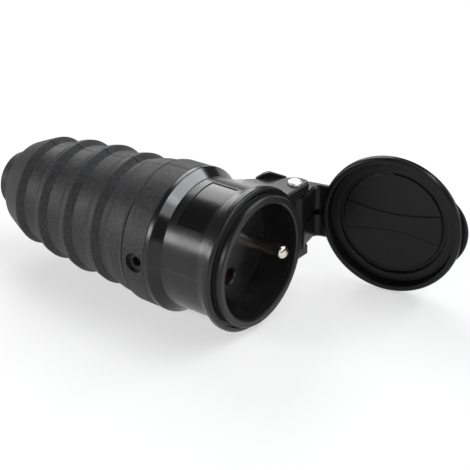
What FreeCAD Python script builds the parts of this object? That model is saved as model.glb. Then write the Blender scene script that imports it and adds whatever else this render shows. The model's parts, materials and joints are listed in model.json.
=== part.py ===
# Inline socket connector with a ribbed rubber grip and a hinged lid.
#
# Row frame, in millimetres: the origin is the centre of the socket mouth, +X points out of
# the mouth along the connector's axis, +Y points to the lid's hinge and +Z is up. The
# connector lies on its side, with the hinge axis upright and the lid swung open.
import FreeCAD, Part
import math
import os

from FreeCAD import Vector

# Socket mouth: distances along the axis are measured back from the mouth
RECESS_R = 20.0
RECESS_DRAFT = 0.5
RECESS_DEPTH = 13.4
LIP_WALL = 2.5
LIP_R = RECESS_R + LIP_WALL
LIP_EDGE = 0.5
SMALL_ROUND = 0.3
GROOVE_WIDTH = 0.8
GROOVE_R = LIP_R + GROOVE_WIDTH
GROOVE_DEPTH = 4.4
FLANGE_WIDTH = 2.6
FLANGE_R = LIP_R + FLANGE_WIDTH
FLANGE_FRONT = 2.9
FLANGE_BACK = 5.7
FLANGE_ROUND = 1.1
FLARE_WIDTH = 1.1
FLARE_R = LIP_R + FLARE_WIDTH
FLARE_END = 9.5
FLARE_ROUND = 4.0

# Neck, collar and the skirt that carries the grip
NECK_STEP = 0.2
NECK_R = LIP_R + NECK_STEP
CONE_FRONT = 24.6
COLLAR_FRONT = 27.8
COLLAR_BACK = 29.6
COLLAR_STEP = 0.45
COLLAR_R = FLANGE_R + COLLAR_STEP
SKIRT_STEP = 0.3
SKIRT_R = NECK_R - SKIRT_STEP
SKIRT_END = 43.0
BORE_STEP = 0.4
HOUSING_BORE_R = RECESS_R + BORE_STEP

# Shallow label recess on the neck, left bare
LABEL_FRONT = 10.9
LABEL_BACK = 21.4
LABEL_DEPTH = 0.3
LABEL_LOW_ANGLE = 40.0
LABEL_HIGH_ANGLE = 94.0

# Rubber grip: each rib's crest is CREST_DROPS below the front band, front to rear
BAND_STEP = 0.1
BAND_R = COLLAR_R - BAND_STEP
BAND_BACK = 39.2
BAND_GROOVE = 0.35
HALF_RIB_CREST = 45.3
HALF_RIB_DROP = 1.6
HALF_RIB_FRONT = 41.2
HALF_RIB_FRONT_DROP = 1.25
FIRST_CREST = 54.3
RIB_PITCH = 12.8
CREST_DROPS = (1.85, 2.25, 3.55, 5.5)
CREST_ROUND = 0.7
RIB_DROP = 1.4
RIB_FACE = 2.8
VALLEY_ROUND = 0.4
RIB_FOOT = 4.3
RIB_FOOT_RISE = 0.35
RIB_FOOT_ROUND = 1.0
RIB_SHOULDER = 2.3
RIB_SHOULDER_DROP = 0.5
RIB_SHOULDER_ROUND = 1.8
DOME_BEND = 96.4
DOME_BEND_DROP = 7.05
DOME_BEND_ROUND = 8.0
DOME_END = 102.2
DOME_END_DROP = 9.65
DOME_END_ROUND = 1.2
BOSS_START = 102.8
BOSS_WALL = 3.8
BOSS_END = 110.5
CABLE_BORE_R = 6.5
BOSS_R = CABLE_BORE_R + BOSS_WALL
CABLE_BORE_START = 95.0
GRIP_WALL = 3.2
FRONT_BORE_END = 62.0
REAR_BORE_END = 84.0

# Side screw that locks the grip to the skirt
GRIP_SCREW_X = 33.7
DIMPLE_R = 3.5
DIMPLE_DEPTH = 1.6
DIMPLE_HOLE_R = 1.8
SCREW_HEAD_R = 2.6
SCREW_HEAD_HEIGHT = 1.2
SCREW_HEAD_DROP = 0.2
SCREW_R = 1.5
GRIP_SCREW_LENGTH = 9.0

# Hinge bracket on the neck
HINGE_X = -9.4
HINGE_REACH = 6.5
HINGE_Y = FLANGE_R + HINGE_REACH
BRACKET_HALF_HEIGHT = 14.0
BRACKET_FRONT = 6.1
BRACKET_FRONT_EDGE = 0.6
LUG_R = 5.0
KNUCKLE_R = 4.0
KNUCKLE_HALF_HEIGHT = 9.9
KNUCKLE_GAP = 0.4
SLOT_GAP = 0.5

# Back wall of the bracket: a plate whose peaks stand above the lugs
WALL_START = 8.4
WALL_PEAK = 12.4
WALL_END = 19.0
WALL_RISE = 2.4
WALL_PEAK_ROUND = 3.0
WALL_THICKNESS = 1.8
WALL_EDGE = 0.6

# Hinge pin
HINGE_PIN_R = 1.6
HINGE_PIN_HEAD_R = 2.6
HINGE_PIN_HEAD_HEIGHT = 1.1
HINGE_PIN_HEAD_ROUND = 0.88
HINGE_PIN_TAIL = 0.4
HINGE_CLEARANCE = 0.08

# Lid, drawn shut on the mouth and then swung open by LID_OPEN_ANGLE
LID_OPEN_ANGLE = 101.85
LID_GAP = 0.3
LID_OVERHANG = 0.15
LID_R = FLANGE_R + LID_OVERHANG
LID_CREST = -0.3
LID_RIM_WIDTH = 2.3
LID_CREST_R = LID_R - LID_RIM_WIDTH
LID_TOP = 5.4
LID_TOP_ROUND = 30.0
LID_TOP_EDGE = 4.6
LID_TOP_EDGE_SHARE = 0.88
LID_TOP_EDGE_ROUND = 8.0
LID_SHOULDER = 2.6
LID_ROUND = 1.2
LID_FLOOR = 3.3
LID_GROOVE_FLOOR = 4.1
LID_GROOVE_WIDTH = 1.3
GASKET_FACE = 2.8
GASKET_HEIGHT = 0.7
GASKET_WIDTH = 3.45
GASKET_CLEARANCE = 0.05
GASKET_INNER_R = LID_CREST_R - GASKET_WIDTH
LEDGE_WIDTH = 0.2
LID_CAVITY_R = GASKET_INNER_R - LEDGE_WIDTH
LID_DISC_R = LID_CAVITY_R - LID_GROOVE_WIDTH
ARM_BACK = 3.2
ARM_ROOT_SHARE = 0.85
ARM_CORNER_ROUND = 1.8
ARM_FRONT_ROUND = 2.0
ARM_EDGE = 0.8
ARM_NOTCH_HALF_HEIGHT = 1.1
ARM_NOTCH_DEPTH = 0.8
TAB_REACH = 1.55
TAB_R = 15.0
TAB_FRONT = 2.9
TAB_BACK = 4.4
TAB_ROUND = 0.5
BAND_PAD_HEIGHT = 0.3
BAND_PAD_WAIST = 3.3
BAND_PAD_ARC_R = 64.0
BAND_PAD_MARGIN = 0.5

# Contacts: two poles above and below the axis, and the earth pin toward the hinge
POLE_OFFSET = 9.5
APERTURE_R = 2.75
APERTURE_EDGE = 0.5
EARTH_OFFSET = 10.0
EARTH_PIN_R = 2.4
EARTH_STEM_R = 2.0
EARTH_PIN_LENGTH = 15.9
EARTH_PIN_ROUND = 2.0
EARTH_PIN_REAR = 33.0
COVER_THICKNESS = 2.6
INSERT_CLEARANCE = 0.1

# Contact carrier behind the cover
CARRIER_END = 40.0
POCKET_WALL = 4.9
POCKET_R = HOUSING_BORE_R - POCKET_WALL
POCKET_DEPTH = 2.6
CONTACT_R = 3.1
CONTACT_BORE_R = 2.4
CONTACT_SLIT = 0.8
TERMINAL_START = 30.0
TERMINAL_END = 39.0
TERMINAL_HALF = 4.2
TERMINAL_CLEARANCE = 0.3
WIRE_HOLE_R = 2.0
WIRE_HOLE_DEPTH = 6.0
WIRE_WELL_R = 4.0
TERMINAL_SCREW_R = 1.9
TERMINAL_SCREW_X = 36.0
TERMINAL_SCREW_REACH = 1.0
TERMINAL_SCREW_LENGTH = 5.6
COVER_SCREW_INSET = 3.2
COVER_SCREW_R = 1.25
COVER_SCREW_HEAD_R = 2.1
COVER_SCREW_SEAT = 24.0
COVER_SCREW_BITE = 1.6

# Shutter behind the apertures, with its torsion spring
SHUTTER_THICKNESS = 2.0
SHUTTER_PAD_R = 3.5
SHUTTER_CLEARANCE = 0.3
SHUTTER_BORE_R = 1.6
SHUTTER_BEARING_CLEARANCE = 0.05
SPRING_WELL_R = 3.6
SPRING_WELL_DEPTH = 2.9
SPRING_R = 2.6
SPRING_WIRE_R = 0.3
SPRING_TURNS = 3
SPRING_PITCH = 0.7
SPRING_CLEARANCE = 0.1

# Cord clamp behind the carrier
CRADLE_END = 58.0
CRADLE_HALF_WIDTH = 13.0
CRADLE_BOTTOM = 11.0
CRADLE_TOP = 1.5
CLAMP_X = 49.0
CLAMP_HALF_LENGTH = 5.0
CLAMP_TOP = 8.0
CLAMP_GAP = 0.3
CLAMP_SCREW_Y = 9.8
CLAMP_SCREW_DEPTH = 7.5
CLAMP_HEAD_R = 2.8
CLAMP_HEAD_HEIGHT = 2.2
DRIVER_SLOT = 0.8
DRIVER_SLOT_DEPTH = 0.7

ORIGIN = Vector(0, 0, 0)
X = Vector(1, 0, 0)
Y = Vector(0, 1, 0)
Z = Vector(0, 0, 1)
COINCIDENT = 1e-6
OVERLAP = 1.0
LONG = 200.0


def rounded_wire(corners, place):
    """Closed wire through corners (a, b, radius); place turns a flat point into one in space."""
    rounds = []
    for index, (a, b, radius) in enumerate(corners):
        here = Vector(a, b, 0)
        before = Vector(*corners[index - 1][:2], 0) - here
        after = Vector(*corners[(index + 1) % len(corners)][:2], 0) - here
        if radius == 0:
            rounds.append((here, None, here))
            continue
        half = before.getAngle(after) / 2
        before.normalize()
        after.normalize()
        inward = before + after
        inward.normalize()
        reach = radius / math.tan(half)
        middle = here + inward * (radius / math.sin(half) - radius)
        rounds.append((here + before * reach, middle, here + after * reach))
    edges = []
    for index, (start, middle, end) in enumerate(rounds):
        last = rounds[index - 1][2]
        if last.distanceToPoint(start) > COINCIDENT:
            edges.append(Part.LineSegment(place(last), place(start)).toShape())
        if middle is not None:
            edges.append(Part.Arc(place(start), place(middle), place(end)).toShape())
    return Part.Wire(edges)


def turned(corners):
    """Solid of revolution about the X axis from (x, radius, corner radius) corners."""
    face = Part.Face(rounded_wire(corners, lambda p: Vector(p.x, p.y, 0)))
    return face.revolve(ORIGIN, X, 360)


def slab(corners, low, high):
    """Plate with an outline of (x, y, corner radius) corners, between two heights."""
    face = Part.Face(rounded_wire(corners, lambda p: Vector(p.x, p.y, low)))
    return face.extrude(Z * (high - low))


def rod(radius, back, front, y=0.0, z=0.0):
    """Round bar along X between two positions."""
    return Part.makeCylinder(radius, front - back, Vector(back, y, z), X)


def block(low, high):
    """Box between two corners."""
    size = Vector(*high) - Vector(*low)
    return Part.makeBox(size.x, size.y, size.z, Vector(*low))


def radial_rod(radius, inner, outer, direction, x):
    """Round bar that runs outward from the axis along a direction in the YZ plane."""
    return Part.makeCylinder(radius, outer - inner, Vector(x, 0, 0) + direction * inner, direction)


def tangent_point(centre, radius, outside):
    """Point where a line from outside touches a circle, on the circle's left seen from there."""
    away = outside - centre
    spread = math.acos(radius / away.Length)
    heading = math.atan2(away.y, away.x) - spread
    return centre + Vector(math.cos(heading), math.sin(heading), 0) * radius


def opened(shape):
    """The lid is drawn shut, so its pieces swing about the hinge axis to the open pose."""
    shape.rotate(Vector(HINGE_X, HINGE_Y, 0), Z, LID_OPEN_ANGLE)
    return shape


def slotted(screw, top, direction, across):
    """Cuts a driver slot across a screw head whose outer face is centred at top."""
    half = DRIVER_SLOT / 2
    start = top - direction * DRIVER_SLOT_DEPTH - across * LONG / 2
    side = direction.cross(across)
    corner = start - side * half
    wire = Part.makePolygon([corner, corner + side * DRIVER_SLOT,
                             corner + side * DRIVER_SLOT + direction * LONG,
                             corner + direction * LONG, corner])
    return screw.cut(Part.Face(wire).extrude(across * LONG))


def bracket_corners():
    """Pin centre, the tangent point of the bracket's slanted side and its heel on the collar."""
    pin = Vector(HINGE_X, HINGE_Y, 0)
    collar_y = math.sqrt(COLLAR_R ** 2 - BRACKET_HALF_HEIGHT ** 2)
    heel = Vector(-(COLLAR_FRONT + COLLAR_BACK) / 2, collar_y, 0)
    return pin, tangent_point(pin, LUG_R, heel), heel


def hinge_bracket():
    """Two lugs for the pin, the block that joins them to the neck and the peaked back wall."""
    pin, touch, heel = bracket_corners()
    front_x = -BRACKET_FRONT
    corner = Vector(front_x, HINGE_Y + math.sqrt(LUG_R ** 2 - (front_x - HINGE_X) ** 2), 0)
    crown = (corner - pin) + (touch - pin)
    crown.normalize()
    crown = pin + crown * LUG_R
    low = Z * -BRACKET_HALF_HEIGHT
    root_y = NECK_R / 2
    inner_back = Vector(heel.x, root_y, 0)
    inner_front = Vector(front_x, root_y, 0)
    edges = [Part.LineSegment(a + low, b + low).toShape() for a, b in (
        (heel, inner_back), (inner_back, inner_front), (inner_front, corner), (touch, heel))]
    edges.append(Part.Arc(corner + low, crown + low, touch + low).toShape())
    outline = Part.Wire(Part.__sortEdges__(edges))
    bracket = Part.Face(outline).extrude(Z * 2 * BRACKET_HALF_HEIGHT)
    rims = [edge for edge in bracket.Edges
            if abs(abs(edge.CenterOfMass.z) - BRACKET_HALF_HEIGHT) < COINCIDENT]
    front = [edge for edge in rims if abs(edge.CenterOfMass.x - front_x) < COINCIDENT]
    bracket = bracket.makeChamfer(BRACKET_FRONT_EDGE, front)
    bracket = bracket.fuse(bracket_wall(touch, heel))
    slot_back = HINGE_X - KNUCKLE_R - SLOT_GAP
    slot_side = HINGE_Y - KNUCKLE_R - SLOT_GAP
    slot_half = KNUCKLE_HALF_HEIGHT + KNUCKLE_GAP
    return bracket.cut(block((slot_back, slot_side, -slot_half), (LONG, LONG, slot_half)))


def bracket_wall(touch, heel):
    """Upright plate on the bracket's slanted side, with a rounded peak above and below."""
    along = touch - heel
    along.normalize()
    outward = Z.cross(along)
    level = BRACKET_HALF_HEIGHT
    peak = level + WALL_RISE
    outline = rounded_wire([
        (WALL_START, -level, 0),
        (WALL_PEAK, -peak, WALL_PEAK_ROUND),
        (WALL_END, -level, 0),
        (WALL_END, level, 0),
        (WALL_PEAK, peak, WALL_PEAK_ROUND),
        (WALL_START, level, 0)],
        lambda p: heel + along * p.x + Z * p.y)
    plate = Part.Face(outline).extrude(outward * WALL_THICKNESS)
    face_point = heel + outward * WALL_THICKNESS
    rims = [edge for edge in plate.Edges
            if abs((edge.CenterOfMass - face_point).dot(outward)) < COINCIDENT]
    return plate.makeFillet(WALL_EDGE, rims)


def socket_housing():
    """Front moulding: lip, flange, neck, cone, collar and skirt, with the hinge bracket."""
    body = turned([
        (0, 0, 0),
        (0, LIP_R, LIP_EDGE),
        (-GROOVE_DEPTH, LIP_R, 0),
        (-GROOVE_DEPTH, GROOVE_R, 0),
        (-FLANGE_FRONT, GROOVE_R, SMALL_ROUND),
        (-FLANGE_FRONT, FLANGE_R, FLANGE_ROUND),
        (-FLANGE_BACK, FLANGE_R, FLANGE_ROUND / 2),
        (-FLANGE_BACK, FLARE_R, SMALL_ROUND),
        (-FLARE_END, NECK_R, FLARE_ROUND),
        (-CONE_FRONT, NECK_R, LIP_EDGE),
        (-COLLAR_FRONT, COLLAR_R, LIP_EDGE),
        (-COLLAR_BACK, COLLAR_R, SMALL_ROUND),
        (-COLLAR_BACK, SKIRT_R, 0),
        (-SKIRT_END, SKIRT_R, LIP_EDGE),
        (-SKIRT_END, 0, 0)])
    body = body.fuse(hinge_bracket())
    hollow = turned([
        (LONG, 0, 0),
        (LONG, RECESS_R + LIP_EDGE, 0),
        (0, RECESS_R + LIP_EDGE, 0),
        (-LIP_EDGE, RECESS_R, 0),
        (-RECESS_DEPTH, RECESS_R - RECESS_DRAFT, 0),
        (-RECESS_DEPTH, HOUSING_BORE_R, 0),
        (-LONG, HOUSING_BORE_R, 0),
        (-LONG, 0, 0)])
    side = Y.negative()
    screw_seat = radial_rod(SCREW_HEAD_R + INSERT_CLEARANCE,
                            SKIRT_R - SCREW_HEAD_DROP - SCREW_HEAD_HEIGHT, LONG,
                            side, -GRIP_SCREW_X)
    screw_hole = radial_rod(SCREW_R + INSERT_CLEARANCE, 0, LONG, side, -GRIP_SCREW_X)
    pin_hole = Part.makeCylinder(HINGE_PIN_R, LONG, Vector(HINGE_X, HINGE_Y, -LONG / 2), Z)
    return body.cut([hollow, screw_seat, screw_hole, pin_hole, label_recess()])


def label_recess():
    """Curved pocket on the neck, between two angles up from the side away from the hinge."""
    front = -LABEL_FRONT
    back = -LABEL_BACK
    floor = NECK_R - LABEL_DEPTH
    outline = [(back, floor, 0), (front, floor, 0), (front, COLLAR_R, 0), (back, COLLAR_R, 0)]
    face = Part.Face(rounded_wire(outline, lambda p: Vector(p.x, -p.y, 0)))
    face.rotate(ORIGIN, X, -LABEL_LOW_ANGLE)
    return face.revolve(ORIGIN, X, LABEL_LOW_ANGLE - LABEL_HIGH_ANGLE)


def rib_corners():
    """Outer line of the grip from the dome to the front half rib, rear to front."""
    crests = [(FIRST_CREST + RIB_PITCH * index, BAND_R - drop)
              for index, drop in enumerate(CREST_DROPS)]
    crests.insert(0, (HALF_RIB_CREST, BAND_R - HALF_RIB_DROP))
    corners = []
    for index in range(len(crests) - 1, 0, -1):
        crest, radius = crests[index]
        next_crest, next_radius = crests[index - 1]
        valley_r = radius - RIB_DROP
        corners += [
            (-crest, radius, CREST_ROUND),
            (-(crest - RIB_FACE), valley_r, VALLEY_ROUND),
            (-(next_crest + RIB_FOOT), valley_r + RIB_FOOT_RISE, RIB_FOOT_ROUND),
            (-(next_crest + RIB_SHOULDER), next_radius - RIB_SHOULDER_DROP, RIB_SHOULDER_ROUND)]
    return corners


def grip_sleeve():
    """Rubber grip with rounded ribs, a smooth front band, a rear dome and the cable boss."""
    front_bore_r = BAND_R - CREST_DROPS[1] - RIB_DROP - GRIP_WALL
    rear_bore_r = BAND_R - CREST_DROPS[2] - RIB_DROP - GRIP_WALL
    corners = [
        (-BOSS_END, CABLE_BORE_R, 0),
        (-BOSS_END, BOSS_R, 2 * LIP_EDGE),
        (-BOSS_START, BOSS_R, LIP_EDGE),
        (-DOME_END, BAND_R - DOME_END_DROP, DOME_END_ROUND),
        (-DOME_BEND, BAND_R - DOME_BEND_DROP, DOME_BEND_ROUND)]
    corners += rib_corners()
    corners += [
        (-HALF_RIB_CREST, BAND_R - HALF_RIB_DROP, CREST_ROUND),
        (-HALF_RIB_FRONT, BAND_R - HALF_RIB_FRONT_DROP, CREST_ROUND),
        (-BAND_BACK - BAND_GROOVE, BAND_R - BAND_GROOVE, 0),
        (-BAND_BACK, BAND_R - 2 * BAND_GROOVE, 0),
        (-BAND_BACK + BAND_GROOVE, BAND_R - BAND_GROOVE / 2, SMALL_ROUND),
        (-COLLAR_BACK, BAND_R, SMALL_ROUND),
        (-COLLAR_BACK, SKIRT_R, 0),
        (-SKIRT_END - INSERT_CLEARANCE, SKIRT_R, 0),
        (-SKIRT_END - INSERT_CLEARANCE, front_bore_r, 0),
        (-FRONT_BORE_END, front_bore_r, 0),
        (-FRONT_BORE_END, rear_bore_r, 0),
        (-REAR_BORE_END, rear_bore_r, 0),
        (-CABLE_BORE_START, CABLE_BORE_R, 0)]
    sleeve = turned(corners)
    side = Y.negative()
    dimple = radial_rod(DIMPLE_R, BAND_R - DIMPLE_DEPTH, LONG, side, -GRIP_SCREW_X)
    hole = radial_rod(DIMPLE_HOLE_R, 0, LONG, side, -GRIP_SCREW_X)
    return sleeve.cut([dimple, hole])


def grip_screw():
    """Side screw through the skirt into the carrier, reached through the rubber."""
    side = Y.negative()
    head_top = SKIRT_R - SCREW_HEAD_DROP
    head = radial_rod(SCREW_HEAD_R, head_top - SCREW_HEAD_HEIGHT, head_top, side, -GRIP_SCREW_X)
    shank = radial_rod(SCREW_R, head_top - GRIP_SCREW_LENGTH, head_top, side, -GRIP_SCREW_X)
    return slotted(head.fuse(shank), Vector(-GRIP_SCREW_X, -head_top, 0), side, Z)


def hinge_pin():
    """Polished steel pin with a domed head on the upper lug."""
    base = Vector(HINGE_X, HINGE_Y, -BRACKET_HALF_HEIGHT - HINGE_PIN_TAIL)
    shank = Part.makeCylinder(HINGE_PIN_R, 2 * BRACKET_HALF_HEIGHT + HINGE_PIN_TAIL, base, Z)
    top = Vector(HINGE_X, HINGE_Y, BRACKET_HALF_HEIGHT)
    head = Part.makeCylinder(HINGE_PIN_HEAD_R, HINGE_PIN_HEAD_HEIGHT, top, Z)
    upper = [edge for edge in head.Edges
             if edge.CenterOfMass.z > BRACKET_HALF_HEIGHT + HINGE_PIN_HEAD_HEIGHT / 2
             and edge.Closed and edge.Length > HINGE_PIN_HEAD_R]
    head = head.makeFillet(HINGE_PIN_HEAD_ROUND, upper)
    return shank.fuse(head)


def lid_shell():
    """Domed lid with a raised rim, a ledge for the gasket, and a groove round its inner disc."""
    ledge = GASKET_FACE + GASKET_HEIGHT
    return turned([
        (LID_TOP, 0, 0),
        (LID_TOP, LID_R / 2, LID_TOP_ROUND),
        (LID_TOP_EDGE, LID_TOP_EDGE_SHARE * LID_R, LID_TOP_EDGE_ROUND),
        (LID_SHOULDER, LID_R, LID_ROUND),
        (LID_CREST, LID_R, LID_ROUND),
        (LID_CREST, LID_CREST_R, LIP_EDGE),
        (ledge, LID_CREST_R, 0),
        (ledge, LID_CAVITY_R, 0),
        (LID_GROOVE_FLOOR, LID_CAVITY_R, SMALL_ROUND),
        (LID_GROOVE_FLOOR, LID_DISC_R, SMALL_ROUND),
        (LID_FLOOR, LID_DISC_R, SMALL_ROUND),
        (LID_FLOOR, 0, 0)])


def lid_band():
    """Raised band across the lid's floor, between two arcs that bow toward each other."""
    face_x = LID_FLOOR - BAND_PAD_HEIGHT
    disc = rod(LID_DISC_R - BAND_PAD_MARGIN, face_x, LID_FLOOR + BAND_PAD_HEIGHT)
    arc_offset = BAND_PAD_WAIST + BAND_PAD_ARC_R
    cuts = [rod(BAND_PAD_ARC_R, 0, LONG, 0, side * arc_offset) for side in (-1, 1)]
    return disc.cut(cuts)


def lid_arm():
    """Hinge knuckle and the bent arm that carries the lid, inside the bracket's slot."""
    inner_y = HINGE_Y - KNUCKLE_R
    root_y = ARM_ROOT_SHARE * LID_R
    half = KNUCKLE_HALF_HEIGHT
    arm = slab([
        (HINGE_X, inner_y, 0),
        (LID_GAP, inner_y, ARM_FRONT_ROUND),
        (LID_GAP, root_y, 0),
        (ARM_BACK, root_y, 0),
        (ARM_BACK, HINGE_Y, ARM_CORNER_ROUND),
        (HINGE_X, HINGE_Y + KNUCKLE_R, 0)], -half, half)
    rims = [edge for edge in arm.Edges
            if abs(abs(edge.CenterOfMass.z) - half) < COINCIDENT
            and edge.CenterOfMass.y > root_y + COINCIDENT
            and edge.CenterOfMass.x > HINGE_X + COINCIDENT]
    arm = arm.makeChamfer(ARM_EDGE, rims)
    inside = rod((LID_R + LID_CREST_R) / 2, -LONG, LONG)
    notch = block((LID_GAP - LONG, root_y, -ARM_NOTCH_HALF_HEIGHT),
                  (LID_GAP + ARM_NOTCH_DEPTH, inner_y + LIP_EDGE, ARM_NOTCH_HALF_HEIGHT))
    knuckle = Part.makeCylinder(KNUCKLE_R, 2 * half, Vector(HINGE_X, HINGE_Y, -half), Z)
    return arm.cut([inside, notch.cut(rod(LID_R, -LONG, LONG))]).fuse(knuckle)


def lid_tab():
    """Rounded thumb tab on the rim, opposite the hinge."""
    tab = rod(TAB_R, TAB_FRONT, TAB_BACK, TAB_R - LID_R - TAB_REACH)
    rims = [edge for edge in tab.Edges if edge.Closed and edge.Length > TAB_R]
    return tab.makeFillet(TAB_ROUND, rims).cut(rod(LID_CREST_R, -LONG, LONG))


def hinged_lid():
    """Lid with its arm, knuckle, thumb tab and inner band."""
    pin_bore = Part.makeCylinder(HINGE_PIN_R + HINGE_CLEARANCE, LONG,
                                 Vector(HINGE_X, HINGE_Y, -LONG / 2), Z)
    lid = lid_shell().fuse([lid_band(), lid_arm(), lid_tab()])
    return opened(lid.cut(pin_bore).removeSplitter())


def lid_gasket():
    """Flat rubber ring on the lid's ledge, inside the raised rim."""
    base = GASKET_FACE + GASKET_HEIGHT
    outer = LID_CREST_R - GASKET_CLEARANCE
    return opened(turned([
        (base, GASKET_INNER_R, 0),
        (GASKET_FACE, GASKET_INNER_R, SMALL_ROUND),
        (GASKET_FACE, outer, SMALL_ROUND),
        (base, outer, 0)]))


def pole_points():
    """Centres of the two pole contacts as (name, z)."""
    return (("line", POLE_OFFSET), ("neutral", -POLE_OFFSET))


def contact_cover():
    """Floor of the recess with the two apertures and the earth pin's hole."""
    back = -RECESS_DEPTH - COVER_THICKNESS
    cover = rod(HOUSING_BORE_R - INSERT_CLEARANCE, back, -RECESS_DEPTH)
    holes = [rod(EARTH_STEM_R, -LONG, LONG, EARTH_OFFSET)]
    for _, z in pole_points():
        holes.append(rod(APERTURE_R, -LONG, LONG, 0, z))
        start = Vector(-RECESS_DEPTH - APERTURE_EDGE, 0, z)
        holes.append(Part.makeCone(APERTURE_R, APERTURE_R + APERTURE_EDGE, APERTURE_EDGE, start, X))
    for y, z in cover_screw_points():
        holes.append(rod(COVER_SCREW_R, back, back + COVER_SCREW_BITE, y, z))
    return cover.cut(holes)


def cover_screw_points():
    """Two screws on the side away from the earth pin."""
    side = (HOUSING_BORE_R - COVER_SCREW_INSET) / math.sqrt(2)
    return ((-side, side), (-side, -side))


def terminal_pocket(direction, offset):
    """Rear pocket for a terminal block and the bore that its screw is reached through."""
    half = TERMINAL_HALF + TERMINAL_CLEARANCE
    centre = direction * offset
    low = Vector(-LONG, centre.y - half, centre.z - half)
    high = Vector(-TERMINAL_START, centre.y + half, centre.z + half)
    access = radial_rod(TERMINAL_SCREW_R + TERMINAL_CLEARANCE, offset, LONG, direction,
                        -TERMINAL_SCREW_X)
    return block(tuple(low), tuple(high)).fuse(access)


def contact_carrier():
    """Moulded insert that holds the contacts, the shutter's post and the cord clamp's cradle."""
    front = -RECESS_DEPTH - COVER_THICKNESS
    pocket_floor = front - POCKET_DEPTH
    carrier = rod(HOUSING_BORE_R - INSERT_CLEARANCE, -CARRIER_END, front)
    well_floor = pocket_floor - SPRING_WELL_DEPTH
    cuts = [rod(POCKET_R, pocket_floor, front + OVERLAP),
            rod(SPRING_WELL_R, well_floor, pocket_floor),
            rod(EARTH_STEM_R, -LONG, LONG, EARTH_OFFSET),
            rod(WIRE_WELL_R, -LONG, -TERMINAL_START, -WIRE_WELL_R),
            terminal_pocket(Y, EARTH_OFFSET)]
    for _, z in pole_points():
        cuts.append(rod(CONTACT_R, -LONG, LONG, 0, z))
        cuts.append(terminal_pocket(Z * math.copysign(1, z), abs(z)))
    for y, z in cover_screw_points():
        cuts.append(rod(COVER_SCREW_R, -LONG, LONG, y, z))
        cuts.append(rod(COVER_SCREW_HEAD_R + INSERT_CLEARANCE, -LONG, -COVER_SCREW_SEAT, y, z))
    side = Y.negative()
    depth = SKIRT_R - SCREW_HEAD_DROP - GRIP_SCREW_LENGTH
    cuts.append(radial_rod(SCREW_R, depth, LONG, side, -GRIP_SCREW_X))
    carrier = carrier.cut(cuts)
    post = rod(SHUTTER_BORE_R - SHUTTER_BEARING_CLEARANCE, well_floor, front)
    cradle = block((-CRADLE_END, -CRADLE_HALF_WIDTH, -CRADLE_BOTTOM),
                   (-CARRIER_END + OVERLAP, CRADLE_HALF_WIDTH, -CRADLE_TOP))
    trough = rod(CABLE_BORE_R, -LONG, -CARRIER_END)
    screw_holes = [Part.makeCylinder(SCREW_R, LONG, clamp_screw_foot(y), Z)
                   for y in clamp_screw_sides()]
    pockets = [terminal_pocket(Z.negative(), POLE_OFFSET).common(
        block((-CARRIER_END, -LONG, -LONG), (LONG, LONG, LONG)))]
    cradle = cradle.cut([trough] + screw_holes + pockets)
    return carrier.fuse([post, cradle])


def pole_contact(z):
    """Slit brass sleeve for a plug pin, in one piece with its terminal block."""
    start = -RECESS_DEPTH - COVER_THICKNESS - POCKET_DEPTH - SHUTTER_CLEARANCE
    sleeve = rod(CONTACT_R, -TERMINAL_START, start, 0, z)
    half = TERMINAL_HALF
    terminal = block((-TERMINAL_END, -half, z - half), (-TERMINAL_START, half, z + half))
    slit_floor = -TERMINAL_START + CONTACT_R
    cuts = [rod(CONTACT_BORE_R, -TERMINAL_START, LONG, 0, z),
            rod(WIRE_HOLE_R, -LONG, -TERMINAL_END + WIRE_HOLE_DEPTH, 0, z),
            block((slit_floor, -CONTACT_SLIT / 2, z - half), (0, CONTACT_SLIT / 2, z + half)),
            terminal_screw_shank(Z * math.copysign(1, z), abs(z))]
    return sleeve.fuse(terminal).cut(cuts)


def earth_pin():
    """Nickel-plated earth pin with a domed tip, long enough to reach its terminal."""
    tip = EARTH_PIN_LENGTH - RECESS_DEPTH
    pin = turned([
        (-EARTH_PIN_REAR, 0, 0),
        (-EARTH_PIN_REAR, EARTH_STEM_R, 0),
        (-RECESS_DEPTH, EARTH_STEM_R, 0),
        (-RECESS_DEPTH, EARTH_PIN_R, 0),
        (tip, EARTH_PIN_R, EARTH_PIN_ROUND),
        (tip, 0, 0)])
    pin.translate(Y * EARTH_OFFSET)
    return pin


def earth_terminal():
    """Brass block on the rear of the earth pin."""
    half = TERMINAL_HALF
    terminal = block((-TERMINAL_END, EARTH_OFFSET - half, -half),
                     (-TERMINAL_START, EARTH_OFFSET + half, half))
    wire_hole = rod(WIRE_HOLE_R, -LONG, -EARTH_PIN_REAR, EARTH_OFFSET)
    pin_bore = rod(EARTH_STEM_R, -EARTH_PIN_REAR, LONG, EARTH_OFFSET)
    return terminal.cut([wire_hole, pin_bore, terminal_screw_shank(Y, EARTH_OFFSET)])


def terminal_screw_shank(direction, offset):
    """Round body of a terminal's grub screw, from the wire hole outward."""
    start = offset + TERMINAL_SCREW_REACH
    return radial_rod(TERMINAL_SCREW_R, start, start + TERMINAL_SCREW_LENGTH, direction,
                      -TERMINAL_SCREW_X)


def terminal_screw(direction, offset):
    """Grub screw that clamps a wire from outside its terminal block."""
    end = offset + TERMINAL_SCREW_REACH + TERMINAL_SCREW_LENGTH
    top = Vector(-TERMINAL_SCREW_X, 0, 0) + direction * end
    return slotted(terminal_screw_shank(direction, offset), top, direction, X)


def cover_screw(y, z):
    """Screw from the rear of the carrier into the contact cover."""
    front = -RECESS_DEPTH - COVER_THICKNESS + COVER_SCREW_BITE
    head_back = -COVER_SCREW_SEAT - SCREW_HEAD_HEIGHT
    screw = rod(COVER_SCREW_R, head_back, front, y, z)
    head = rod(COVER_SCREW_HEAD_R, head_back, -COVER_SCREW_SEAT, y, z)
    return slotted(screw.fuse(head), Vector(head_back, y, z), X.negative(), Y)


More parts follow.
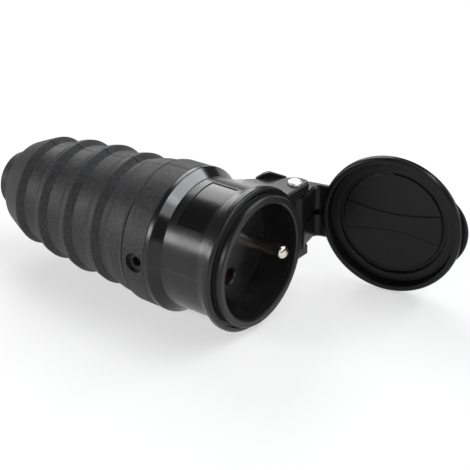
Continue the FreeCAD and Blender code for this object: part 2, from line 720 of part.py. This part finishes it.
def shutter():
    """Turning blade that closes both apertures and swings aside under the plug pins."""
    front = -RECESS_DEPTH - COVER_THICKNESS - SHUTTER_CLEARANCE
    back = front - SHUTTER_THICKNESS
    pads = [rod(SHUTTER_PAD_R, back, front, 0, z) for _, z in pole_points()]
    bar = block((back, -SHUTTER_PAD_R, -POLE_OFFSET), (front, SHUTTER_PAD_R, POLE_OFFSET))
    blade = bar.fuse(pads)
    return blade.cut(rod(SHUTTER_BORE_R, -LONG, LONG)).removeSplitter()


def shutter_spring():
    """Torsion spring round the shutter's post."""
    pocket_floor = -RECESS_DEPTH - COVER_THICKNESS - POCKET_DEPTH
    height = SPRING_TURNS * SPRING_PITCH
    start = pocket_floor - SPRING_WIRE_R - height - SPRING_CLEARANCE
    helix = Part.makeHelix(SPRING_PITCH, height, SPRING_R)
    ring = Part.Wire(Part.makeCircle(SPRING_WIRE_R, Vector(SPRING_R, 0, 0), Y))
    coil = Part.Wire(helix.Edges).makePipeShell([ring], True, True)
    coil.rotate(ORIGIN, Y, 90)
    coil.translate(X * start)
    return coil


def clamp_screw_sides():
    """Distances of the two clamp screws from the axis."""
    return (-CLAMP_SCREW_Y, CLAMP_SCREW_Y)


def clamp_screw_foot(y):
    """Lower end of a clamp screw."""
    return Vector(-CLAMP_X, y, -CRADLE_TOP - CLAMP_SCREW_DEPTH)


def clamp_bridge():
    """Saddle that presses the cord into the cradle."""
    bottom = -CRADLE_TOP + CLAMP_GAP
    bridge = block((-CLAMP_X - CLAMP_HALF_LENGTH, -CRADLE_HALF_WIDTH, bottom),
                   (-CLAMP_X + CLAMP_HALF_LENGTH, CRADLE_HALF_WIDTH, CLAMP_TOP))
    cuts = [rod(CABLE_BORE_R, -LONG, LONG)]
    for y in clamp_screw_sides():
        foot = clamp_screw_foot(y)
        seat = Vector(foot.x, y, CLAMP_TOP - CLAMP_HEAD_HEIGHT)
        cuts.append(Part.makeCylinder(SCREW_R + INSERT_CLEARANCE, LONG, foot, Z))
        cuts.append(Part.makeCylinder(CLAMP_HEAD_R + INSERT_CLEARANCE, LONG, seat, Z))
        inner = y - math.copysign(CLAMP_HEAD_R / 2, y)
        outer = math.copysign(LONG, y)
        cuts.append(block((-LONG, min(inner, outer), seat.z), (LONG, max(inner, outer), LONG)))
    return bridge.cut(cuts)


def clamp_screw(y):
    """Screw that pulls the bridge down on the cord."""
    foot = clamp_screw_foot(y)
    seat_z = CLAMP_TOP - CLAMP_HEAD_HEIGHT
    shank = Part.makeCylinder(SCREW_R, seat_z - foot.z, foot, Z)
    head = Part.makeCylinder(CLAMP_HEAD_R, CLAMP_HEAD_HEIGHT, Vector(foot.x, y, seat_z), Z)
    return slotted(shank.fuse(head), Vector(foot.x, y, CLAMP_TOP), Z, X)


def nodes():
    """Every separate piece of the connector, by name."""
    pieces = {
        "socket_housing": socket_housing(),
        "grip_sleeve": grip_sleeve(),
        "grip_screw": grip_screw(),
        "hinge_pin": hinge_pin(),
        "hinged_lid": hinged_lid(),
        "lid_gasket": lid_gasket(),
        "contact_cover": contact_cover(),
        "contact_carrier": contact_carrier(),
        "earth_pin": earth_pin(),
        "earth_terminal": earth_terminal(),
        "earth_terminal_screw": terminal_screw(Y, EARTH_OFFSET),
        "shutter": shutter(),
        "shutter_spring": shutter_spring(),
        "clamp_bridge": clamp_bridge()}
    for name, z in pole_points():
        pieces[name + "_contact"] = pole_contact(z)
        pieces[name + "_terminal_screw"] = terminal_screw(Z * math.copysign(1, z), abs(z))
    for name, (y, z) in zip(("upper", "lower"), cover_screw_points()):
        pieces["cover_screw_" + name] = cover_screw(y, z)
    for name, y in zip(("left", "right"), clamp_screw_sides()):
        pieces["clamp_screw_" + name] = clamp_screw(y)
    return pieces


os.makedirs("parts", exist_ok=True)
for node, shape in nodes().items():
    if not shape.isValid() or len(shape.Solids) != 1:
        print("check", node, shape.isValid(), len(shape.Solids))
    shape.exportStep("parts/" + node + ".step")
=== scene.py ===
import bpy
import json
import math
from mathutils import Matrix, Vector


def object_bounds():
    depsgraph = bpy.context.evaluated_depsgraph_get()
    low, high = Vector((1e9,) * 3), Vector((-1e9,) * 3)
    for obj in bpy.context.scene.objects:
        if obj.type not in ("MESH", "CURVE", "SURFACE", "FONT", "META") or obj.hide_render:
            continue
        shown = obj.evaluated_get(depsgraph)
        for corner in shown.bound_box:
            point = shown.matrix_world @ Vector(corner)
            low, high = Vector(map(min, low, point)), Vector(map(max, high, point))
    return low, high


MM = 0.001

# Camera, fitted to the photograph's 470 pixel frame
CAMERA_AT = (241.97, -335.02, 223.86)
CAMERA_YAW = 37.076
CAMERA_PITCH = 27.336
CAMERA_ROLL = -0.272
CAMERA_LENS = 110.0
CAMERA_CLIP = 10.0
SENSOR_WIDTH = 36.0

# Floor just under the part, with low walls far away; its glow grows to full from near to far
FLOOR_GAP = 0.157
FLOOR_HALF = 6000.0
FLOOR_COLOR = (0.93, 0.93, 0.93)
FLOOR_ROUGH = 0.9
FLOOR_GLOW = 0.55
FLOOR_NEAR = 110.0
FLOOR_FAR = 400.0
WALL_HEIGHT = 900.0

# Lamps, each with its name, direction from the part, size, radiance, long side's axis and colour
LAMP_TARGET = (-30.0, 10.0, 0.0)
LAMP_DISTANCE = 900.0
WORLD_LEVEL = 0.08
WHITE = (1.0, 1.0, 1.0)
COOL_WHITE = (0.94, 0.96, 1.0)
ALONG_X = (1, 0, 0)
LAMPS = (
    ("low_left", (-0.68, -0.68, 0.28), (500.0, 210.0), 13.0, ALONG_X, WHITE),
    ("front", (0.35, -0.8, 0.49), (500.0, 400.0), 1.3, ALONG_X, WHITE),
    ("overhead", (0.22, 0.26, 0.94), (600.0, 450.0), 2.0, ALONG_X, WHITE),
    ("right", (0.695, -0.22, 0.68), (420.0, 100.0), 5.5, (0.06, -0.34, -0.22), WHITE),
    ("behind", (-0.62, 0.52, 0.59), (680.0, 400.0), 5.4, (0, 0.78, -0.63), WHITE),
    ("above_right", (0.522, 0.38, 0.764), (1200.0, 110.0), 12.6, (-0.39, 0.9, -0.23), COOL_WHITE),
)

# Colours of the materials
GRIP_COLOR = (0.0165, 0.0165, 0.0175)
HOUSING_COLOR = (0.0095, 0.0095, 0.01)
LID_COLOR = (0.007, 0.007, 0.0075)
INSERT_COLOR = (0.014, 0.014, 0.015)
SHUTTER_COLOR = (0.09, 0.012, 0.03)
CLAMP_COLOR = (0.06, 0.06, 0.06)
STEEL_COLOR = (0.62, 0.62, 0.6)
POLISHED_COLOR = (0.85, 0.85, 0.84)
BLACKED_COLOR = (0.05, 0.05, 0.05)
PIN_COLOR = (0.76, 0.7, 0.64)
BRASS_COLOR = (0.72, 0.56, 0.28)

# Fine texture that the materials share; a gain multiplies a colour or a roughness
NOISE_RANGE = (0.3, 0.7)
CLOUD_SCALE = 90.0
CLOUD_DETAIL = 3.0
CLOUD_GAINS = (0.75, 1.25)
GRAIN_DETAIL = 2.0
GRAIN_STRENGTH = 0.5
SCRATCH_DETAIL = 4.0
SCRATCH_STRENGTH = 0.15
SCRATCH_GAINS = (0.8, 1.3)

# Distance that a mask fades over on each side of its limits, where it has none of its own
SOFT_EDGE = 0.1

# Grip: a fine pale mottle, and the mould's parting line from the collar to the rear dome
MOTTLE_SCALE = 1100.0
MOTTLE_DETAIL = 4.0
MOTTLE_RANGE = (0.4, 0.7)
MOTTLE_GAIN = 2.2
MOTTLE_DEPTH = 0.12
MOTTLE_STRENGTH = 0.6
PARTING_X = (-102.0, -29.6)
PARTING_Y = -0.4
PARTING_HALF = 0.24
PARTING_DEPTH = 0.3
PARTING_GAIN = 0.25
WANDER = 0.15
WANDER_SCALE = 160.0
WANDER_DETAIL = 1.0

# Housing: the seam on the neck's side, the label recess, and the groove behind the lip, which gets
# painted light as if it were shallower
SEAM_X = (-31.0, -6.7)
SEAM_Y = (-40.0, -21.5)
SEAM_Z = 0.2
SEAM_HALF = 0.14
SEAM_HEIGHT = 0.12
SEAM_GAIN = 6.0
LABEL_X = (-21.5, -10.8)
LABEL_R = (21.5, 22.55)
LABEL_EDGE = 0.02
LABEL_GAIN = 0.5
LABEL_ROUGH = 0.2
GROOVE_X = (-5.0, -2.6)
GROOVE_R = (22.4, 23.4)
GROOVE_EDGE = 0.05
# Gain of the painted light that makes the groove behind the lip lighter, as if it were shallower
GROOVE_PAINTED_LIGHT_GAIN = 4.0

# Housing: the cone, the lip and the hinge bracket, which differ in roughness alone
CONE_X = (-27.8, -24.6)
CONE_ROUGH = 0.15
LIP_X = (-2.6, 1.0)
LIP_EDGE = 0.2
LIP_ROUGH = 0.36
BRACKET_Y = (24.0, 60.0)
BRACKET_EDGE = 1.5
BRACKET_ROUGH = 0.38

# Lid, with the places of its shut pose: a fine line along both arcs of the band in its face
FACE_X = (0.0, 4.3)
ARC_R = 64.0
ARC_CENTRE_Z = 67.3
ARC_HALF = 0.14
ARC_HEIGHT = 0.2
ARC_REACH = 17.5

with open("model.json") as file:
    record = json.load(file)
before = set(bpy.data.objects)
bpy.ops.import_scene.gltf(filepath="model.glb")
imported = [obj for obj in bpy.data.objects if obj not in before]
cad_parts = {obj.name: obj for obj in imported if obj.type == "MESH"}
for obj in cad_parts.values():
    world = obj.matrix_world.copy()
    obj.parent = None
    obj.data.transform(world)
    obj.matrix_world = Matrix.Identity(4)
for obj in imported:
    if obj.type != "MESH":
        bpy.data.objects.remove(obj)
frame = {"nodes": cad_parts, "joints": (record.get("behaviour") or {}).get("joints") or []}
cad_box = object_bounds()
nodes = frame["nodes"]
lid_hinge = next(joint for joint in frame["joints"] if joint["name"] == "lid_hinge")
scene = bpy.context.scene


def add_node(tree, kind, values=None, **settings):
    """Shader node with its settings and input values."""
    node = tree.nodes.new(kind)
    for name, value in settings.items():
        setattr(node, name, value)
    for name, value in (values or {}).items():
        node.inputs[name].default_value = value
    return node


def new_material(name, color, roughness, metallic=0.0, specular=0.5):
    """Principled material with no textures yet; returns it with its tree and shader."""
    material = bpy.data.materials.new(name)
    material.use_nodes = True
    tree = material.node_tree
    shader = tree.nodes["Principled BSDF"]
    shader.inputs["Base Color"].default_value = (*color, 1)
    shader.inputs["Roughness"].default_value = roughness
    shader.inputs["Metallic"].default_value = metallic
    shader.inputs["Specular IOR Level"].default_value = specular
    return material, tree, shader


def scaled(color, gain):
    """Colour times a number."""
    return tuple(gain * part for part in color)


def noise(tree, scale, detail):
    """Noise texture in object coordinates."""
    coords = add_node(tree, "ShaderNodeTexCoord")
    texture = add_node(tree, "ShaderNodeTexNoise", {"Scale": scale, "Detail": detail})
    tree.links.new(coords.outputs["Object"], texture.inputs["Vector"])
    return texture.outputs["Fac"]


def remap(tree, value, low, high, limits=NOISE_RANGE):
    """Maps a value between two limits to low and high, and holds it outside them."""
    start, end = limits
    node = add_node(tree, "ShaderNodeMapRange", {
        "From Min": start, "From Max": end, "To Min": low, "To Max": high})
    tree.links.new(value, node.inputs["Value"])
    return node.outputs["Result"]


def calc(tree, operation, first, second=0.0):
    """Math node on sockets or plain numbers."""
    node = add_node(tree, "ShaderNodeMath", operation=operation)
    for index, value in enumerate((first, second)):
        if isinstance(value, (int, float)):
            node.inputs[index].default_value = value
        else:
            tree.links.new(value, node.inputs[index])
    return node.outputs["Value"]


def hypot(tree, first, second):
    """Length of the vector with two parts."""
    return calc(tree, "SQRT", calc(tree, "ADD", calc(tree, "MULTIPLY", first, first),
                                   calc(tree, "MULTIPLY", second, second)))


def place(tree):
    """Position on the object as X, Y and Z sockets, in metres."""
    coords = add_node(tree, "ShaderNodeTexCoord")
    split = add_node(tree, "ShaderNodeSeparateXYZ")
    tree.links.new(coords.outputs["Object"], split.inputs["Vector"])
    return [split.outputs[axis] for axis in "XYZ"]


def shut_place(tree):
    """Position on the lid as X, Y and Z sockets, in metres, with the lid turned shut."""
    x, y, z = place(tree)
    hinge_x, hinge_y = lid_hinge["pos_m"][:2]
    shut_angle = math.radians(lid_hinge["range_deg"][0])
    cos, sin = math.cos(shut_angle), math.sin(shut_angle)
    x = calc(tree, "SUBTRACT", x, hinge_x)
    y = calc(tree, "SUBTRACT", y, hinge_y)
    turned_x = calc(tree, "SUBTRACT", calc(tree, "MULTIPLY", x, cos), calc(tree, "MULTIPLY", y, sin))
    turned_y = calc(tree, "ADD", calc(tree, "MULTIPLY", x, sin), calc(tree, "MULTIPLY", y, cos))
    return calc(tree, "ADD", turned_x, hinge_x), calc(tree, "ADD", turned_y, hinge_y), z


def within(tree, value, limits, soft=SOFT_EDGE):
    """Mask that is 1 where a position in metres lies between two limits in mm, with soft edges."""
    low, high = limits
    half = (high - low) / 2 * MM
    middle = (high + low) / 2 * MM
    away = calc(tree, "ABSOLUTE", calc(tree, "SUBTRACT", value, middle))
    return remap(tree, away, 1.0, 0.0, (half - soft * MM, half + soft * MM))


def stripe(tree, value, middle, half):
    """Mask of a thin line with soft edges, from its middle and half its width in mm."""
    return within(tree, value, (middle - half, middle + half), half / 2)


def all_of(tree, *masks):
    """Product of masks."""
    product = masks[0]
    for mask in masks[1:]:
        product = calc(tree, "MULTIPLY", product, mask)
    return product


def blend_color(tree, factor, first, second):
    """Colour that goes from first to second with the factor; each is a socket or a colour."""
    mix = add_node(tree, "ShaderNodeMix", data_type="RGBA")
    for name, value in (("A", first), ("B", second)):
        if isinstance(value, tuple):
            mix.inputs[name].default_value = (*value, 1)
        else:
            tree.links.new(value, mix.inputs[name])
    tree.links.new(factor, mix.inputs["Factor"])
    return mix.outputs["Result"]


def feed(shader, name):
    """Socket that feeds one of the shader's inputs."""
    return shader.inputs[name].links[0].from_socket


def tint(tree, shader, mask, color):
    """Moves the shader's colour to another where the mask is 1."""
    blend = blend_color(tree, mask, feed(shader, "Base Color"), color)
    tree.links.new(blend, shader.inputs["Base Color"])


def roughen(tree, shader, mask, roughness):
    """Moves the shader's roughness to another where the mask is 1."""
    mix = add_node(tree, "ShaderNodeMix", {"B": roughness})
    tree.links.new(feed(shader, "Roughness"), mix.inputs["A"])
    tree.links.new(mask, mix.inputs["Factor"])
    tree.links.new(mix.outputs["Result"], shader.inputs["Roughness"])


def add_bump(tree, shader, height, depth, strength=1.0):
    """Bump with a depth in mm on top of the shader's present normal."""
    bump = add_node(tree, "ShaderNodeBump", {"Strength": strength, "Distance": depth * MM})
    tree.links.new(height, bump.inputs["Height"])
    if shader.inputs["Normal"].links:
        tree.links.new(feed(shader, "Normal"), bump.inputs["Normal"])
    tree.links.new(bump.outputs["Normal"], shader.inputs["Normal"])


def grained(name, color, roughness, grain_scale, grain_depth, variation=0.12, specular=0.5):
    """Moulded plastic or rubber: uneven roughness and tint, and a fine grain in the surface."""
    material, tree, shader = new_material(name, color, roughness, specular=specular)
    cloud = noise(tree, CLOUD_SCALE, CLOUD_DETAIL)
    spread = remap(tree, cloud, roughness - variation / 2, roughness + variation / 2)
    tree.links.new(spread, shader.inputs["Roughness"])
    low, high = (scaled(color, gain) for gain in CLOUD_GAINS)
    tree.links.new(blend_color(tree, cloud, low, high), shader.inputs["Base Color"])
    add_bump(tree, shader, noise(tree, grain_scale, GRAIN_DETAIL), grain_depth, GRAIN_STRENGTH)
    return material, tree, shader


def metal(name, color, roughness, scratch_scale=700.0, scratch_depth=0.02):
    """Worked metal with fine scratches."""
    material, tree, shader = new_material(name, color, roughness, metallic=1.0)
    scratches = noise(tree, scratch_scale, SCRATCH_DETAIL)
    smooth, worn = (gain * roughness for gain in SCRATCH_GAINS)
    tree.links.new(remap(tree, scratches, smooth, worn), shader.inputs["Roughness"])
    add_bump(tree, shader, scratches, scratch_depth, SCRATCH_STRENGTH)
    return material


def grip_rubber():
    """Matt black rubber with the mould's parting line along the top and bottom."""
    material, tree, shader = grained("grip", GRIP_COLOR, roughness=0.55, specular=0.3,
                                     grain_scale=1800.0, grain_depth=0.05)
    mottle = noise(tree, MOTTLE_SCALE, MOTTLE_DETAIL)
    tint(tree, shader, remap(tree, mottle, 0.0, 1.0, MOTTLE_RANGE), scaled(GRIP_COLOR, MOTTLE_GAIN))
    add_bump(tree, shader, mottle, MOTTLE_DEPTH, MOTTLE_STRENGTH)
    x, y, _ = place(tree)
    wander = remap(tree, noise(tree, WANDER_SCALE, WANDER_DETAIL), -WANDER * MM, WANDER * MM)
    line = stripe(tree, calc(tree, "ADD", y, wander), PARTING_Y, PARTING_HALF)
    parting = all_of(tree, line, within(tree, x, PARTING_X))
    tint(tree, shader, parting, scaled(GRIP_COLOR, PARTING_GAIN))
    add_bump(tree, shader, parting, -PARTING_DEPTH)
    return material


def housing_plastic():
    """Satin black plastic with a seam on the neck, painted light that lifts the shade in the groove,
    and bands of other gloss.
    """
    material, tree, shader = grained("housing", HOUSING_COLOR, roughness=0.25, specular=0.37,
                                     grain_scale=1700.0, grain_depth=0.02, variation=0.06)
    x, y, z = place(tree)
    radius = hypot(tree, y, z)
    seam = all_of(tree, stripe(tree, z, SEAM_Z, SEAM_HALF), within(tree, x, SEAM_X),
                  within(tree, y, SEAM_Y))
    label = all_of(tree, within(tree, radius, LABEL_R, LABEL_EDGE),
                   within(tree, x, LABEL_X, LABEL_EDGE))
    # The groove behind the lip is tinted lighter: painted light that lifts its shade, as if the
    # groove were shallower
    groove = all_of(tree, within(tree, radius, GROOVE_R, GROOVE_EDGE), within(tree, x, GROOVE_X))
    for mask, gain in ((seam, SEAM_GAIN), (label, LABEL_GAIN), (groove, GROOVE_PAINTED_LIGHT_GAIN)):
        tint(tree, shader, mask, scaled(HOUSING_COLOR, gain))
    cone = within(tree, x, CONE_X)
    lip = within(tree, x, LIP_X, LIP_EDGE)
    bracket = within(tree, y, BRACKET_Y, BRACKET_EDGE)
    for mask, roughness in ((label, LABEL_ROUGH), (cone, CONE_ROUGH), (lip, LIP_ROUGH),
                            (bracket, BRACKET_ROUGH)):
        roughen(tree, shader, mask, roughness)
    add_bump(tree, shader, seam, SEAM_HEIGHT)
    return material


def lid_plastic():
    """Satin black plastic with a fine line along two arcs across the lid's face."""
    material, tree, shader = grained("lid", LID_COLOR, roughness=0.3, specular=0.2,
                                     grain_scale=1500.0, grain_depth=0.02)
    x, y, z = shut_place(tree)
    face = all_of(tree, within(tree, hypot(tree, y, z), (-ARC_REACH, ARC_REACH)),
                  within(tree, x, FACE_X))
    for side in (-1, 1):
        radius = hypot(tree, y, calc(tree, "ADD", z, side * ARC_CENTRE_Z * MM))
        arc = all_of(tree, stripe(tree, radius, ARC_R, ARC_HALF), face)
        add_bump(tree, shader, arc, ARC_HEIGHT)
    return material


def gasket_rubber():
    """Black rubber of the ring in the lid."""
    return grained("gasket", LID_COLOR, roughness=0.36, specular=0.21, grain_scale=900.0,
                   grain_depth=0.06)[0]


def insert_plastic():
    """Black plastic of the recess floor and the carrier, with an uneven gloss."""
    return grained("insert", INSERT_COLOR, roughness=0.32, specular=0.55, grain_scale=900.0,
                   grain_depth=0.08, variation=0.2)[0]


def shutter_plastic():
    """Dark purple plastic behind the apertures."""
    return grained("shutter", SHUTTER_COLOR, roughness=0.4, grain_scale=1500.0,
                   grain_depth=0.02)[0]


def clamp_plastic():
    """Dark grey plastic of the cord clamp."""
    return grained("clamp", CLAMP_COLOR, roughness=0.5, grain_scale=1500.0, grain_depth=0.02)[0]


def dress(material, *names):
    """Gives CAD nodes their material."""
    for name in names:
        mesh = nodes[name].data
        mesh.materials.clear()
        mesh.materials.append(material)


def dress_all():
    """Gives every CAD node its material."""
    dress(housing_plastic(), "socket_housing")
    dress(grip_rubber(), "grip_sleeve")
    dress(lid_plastic(), "hinged_lid")
    dress(gasket_rubber(), "lid_gasket")
    dress(insert_plastic(), "contact_cover", "contact_carrier")
    dress(shutter_plastic(), "shutter")
    dress(clamp_plastic(), "clamp_bridge")
    dress(metal("pin", PIN_COLOR, roughness=0.2), "earth_pin")
    dress(metal("polished_steel", POLISHED_COLOR, roughness=0.42, scratch_scale=400.0,
                scratch_depth=0.001), "hinge_pin")
    dress(metal("black_steel", BLACKED_COLOR, roughness=0.35), "grip_screw")
    dress(metal("steel", STEEL_COLOR, roughness=0.28), "shutter_spring", "cover_screw_upper",
          "cover_screw_lower", "clamp_screw_left", "clamp_screw_right", "line_terminal_screw",
          "neutral_terminal_screw", "earth_terminal_screw")
    dress(metal("brass", BRASS_COLOR, roughness=0.3), "earth_terminal", "line_contact",
          "neutral_contact")


def add_camera():
    """Camera at the photograph's place and angle."""
    yaw, pitch, roll = (math.radians(a) for a in (CAMERA_YAW, CAMERA_PITCH, CAMERA_ROLL))
    back = Vector((math.sin(yaw) * math.cos(pitch), -math.cos(yaw) * math.cos(pitch),
                   math.sin(pitch)))
    right = Vector((math.cos(yaw), math.sin(yaw), 0))
    up = back.cross(right)
    rolled_right = right * math.cos(roll) + up * math.sin(roll)
    rolled_up = up * math.cos(roll) - right * math.sin(roll)
    data = bpy.data.cameras.new("camera")
    data.sensor_width = SENSOR_WIDTH
    data.lens = CAMERA_LENS
    data.clip_start = CAMERA_CLIP * MM
    camera = bpy.data.objects.new("camera", data)
    scene.collection.objects.link(camera)
    turn = Matrix((rolled_right, rolled_up, back)).transposed().to_4x4()
    camera.matrix_world = Matrix.Translation(Vector(CAMERA_AT) * MM) @ turn
    scene.camera = camera


def floor_white():
    """Matt pale floor that the camera, glossy and transmission rays see as white.

    It is partly white near the part, where it keeps the shadow, and fully white far away.
    """
    material, tree, shader = new_material("floor", FLOOR_COLOR, FLOOR_ROUGH)
    path = add_node(tree, "ShaderNodeLightPath")
    seen = calc(tree, "MAXIMUM", path.outputs["Is Camera Ray"], path.outputs["Is Glossy Ray"])
    seen = calc(tree, "MAXIMUM", seen, path.outputs["Is Transmission Ray"])
    x, y, _ = place(tree)
    glow = remap(tree, hypot(tree, x, y), FLOOR_GLOW, 1.0, (FLOOR_NEAR * MM, FLOOR_FAR * MM))
    white = add_node(tree, "ShaderNodeEmission", {"Color": (*WHITE, 1), "Strength": 1.0})
    mix = add_node(tree, "ShaderNodeMixShader")
    tree.links.new(calc(tree, "MULTIPLY", seen, glow), mix.inputs["Fac"])
    tree.links.new(shader.outputs["BSDF"], mix.inputs[1])
    tree.links.new(white.outputs["Emission"], mix.inputs[2])
    tree.links.new(mix.outputs["Shader"], tree.nodes["Material Output"].inputs["Surface"])
    return material


def add_floor():
    """Square floor with a low wall along each side, in one mesh."""
    half = FLOOR_HALF * MM
    bottom = cad_box[0][2] - FLOOR_GAP * MM
    corners = [(side_x * half, side_y * half, z)
               for z in (bottom, bottom + WALL_HEIGHT * MM)
               for side_x, side_y in ((-1, -1), (1, -1), (1, 1), (-1, 1))]
    walls = [(i, (i + 1) % 4, (i + 1) % 4 + 4, i + 4) for i in range(4)]
    mesh = bpy.data.meshes.new("floor")
    mesh.from_pydata(corners, [], [(0, 1, 2, 3)] + walls)
    mesh.materials.append(floor_white())
    floor = bpy.data.objects.new("floor", mesh)
    scene.collection.objects.link(floor)


def soft_box(name, direction, size, radiance, long_axis, color):
    """Area light that faces the part from a direction, with its long side along an axis."""
    data = bpy.data.lights.new(name, "AREA")
    data.shape = "RECTANGLE"
    data.size, data.size_y = (side * MM for side in size)
    data.energy = radiance * math.pi * data.size * data.size_y
    data.color = color
    light = bpy.data.objects.new(name, data)
    scene.collection.objects.link(light)
    away = Vector(direction).normalized()
    along = Vector(long_axis) - away * Vector(long_axis).dot(away)
    along.normalize()
    turn = Matrix((along, away.cross(along), away)).transposed().to_4x4()
    target = Vector(LAMP_TARGET) * MM
    light.matrix_world = Matrix.Translation(target + away * LAMP_DISTANCE * MM) @ turn


def add_lights():
    """The lamps, in a dim white world."""
    world = bpy.data.worlds.new("world")
    scene.world = world
    world.use_nodes = True
    background = world.node_tree.nodes["Background"]
    background.inputs["Color"].default_value = (*WHITE, 1)
    background.inputs["Strength"].default_value = WORLD_LEVEL
    for lamp in LAMPS:
        soft_box(*lamp)


dress_all()
add_camera()
add_floor()
add_lights()
scene.view_settings.view_transform = "Standard"
